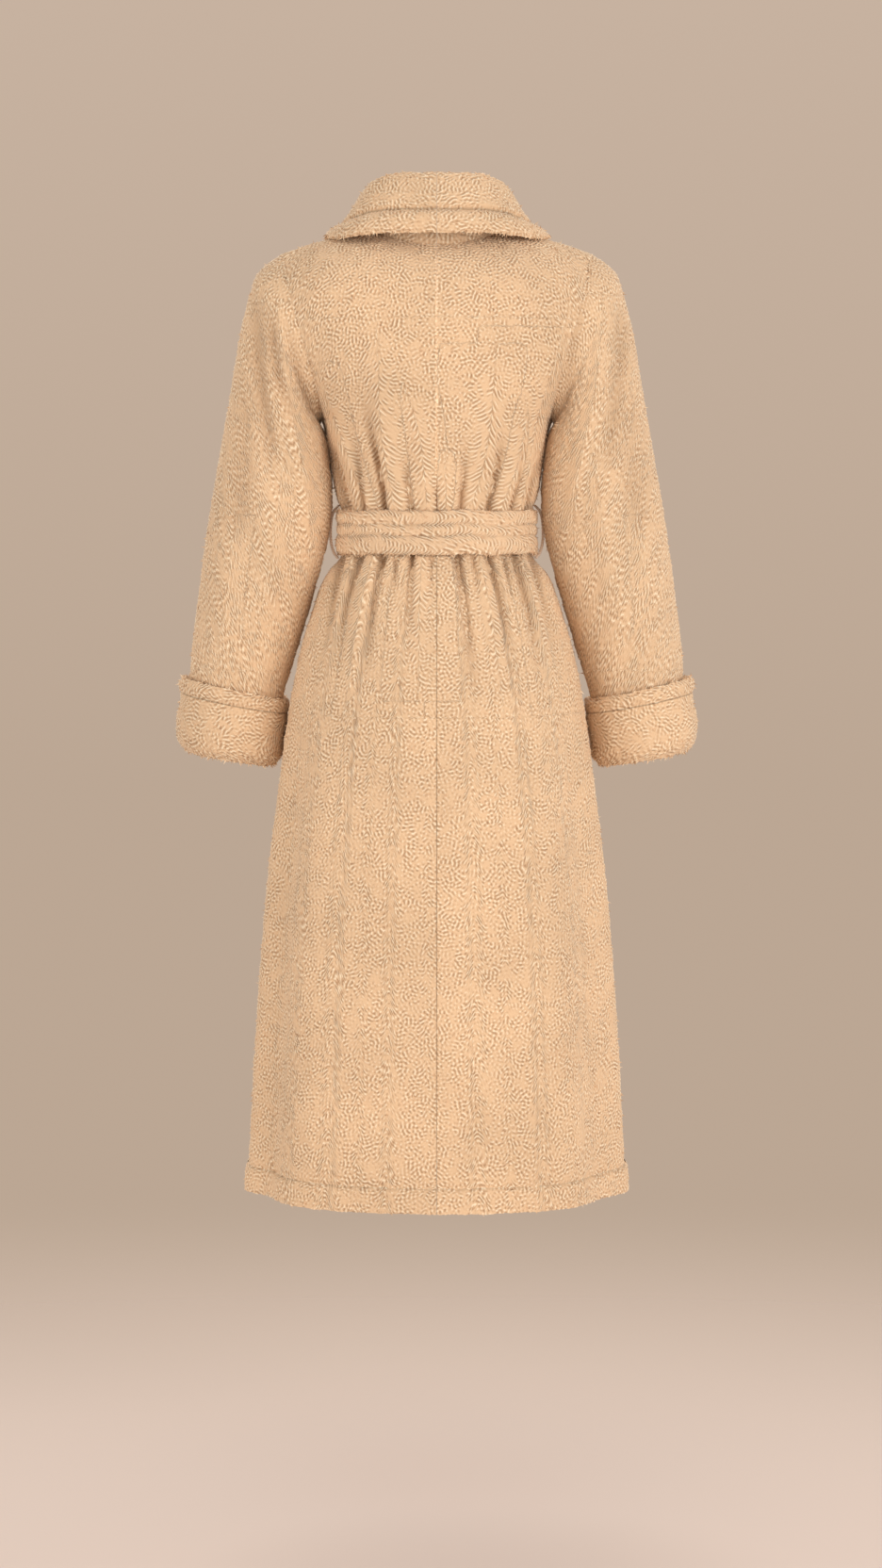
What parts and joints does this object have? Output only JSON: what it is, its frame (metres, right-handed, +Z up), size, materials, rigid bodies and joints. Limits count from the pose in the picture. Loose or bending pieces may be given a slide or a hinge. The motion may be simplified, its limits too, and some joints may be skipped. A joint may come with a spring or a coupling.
{
  "type": "plush dressing gown",
  "caption": "Long belted dressing gown in curly plush, worn and hollow: wrapped fronts, seamed back, shawl collar, long sleeves with turned-back cuffs, tied belt in loops.",
  "frame": {"origin": "midway between the wearer's shoulders, at the height of the neckline's sides, where the wearer carries the gown", "axes": "+Z up; the back faces +Y and the wrapped front faces -Y; the wearer's left is +X"},
  "size_m": [0.623, 0.3207, 1.2032],
  "materials": {
    "plush": "curly plush pile, matt with a soft sheen",
    "belt_plush": "curly plush pile, stuffed and stitched in channels",
    "loop_cord": "matt thread chain"
  },
  "bodies": {
    "root": {"back_left": "plush", "back_right": "plush", "front_left": "plush", "front_right": "plush", "sleeve_left": "plush", "sleeve_right": "plush", "cuff_left": "plush", "cuff_right": "plush", "collar_left": "plush", "collar_right": "plush", "belt": "belt_plush", "belt_knot": "belt_plush", "belt_end_left": "belt_plush", "belt_end_right": "belt_plush", "belt_loop_left": "loop_cord", "belt_loop_right": "loop_cord"}
  },
  "joints": []
}
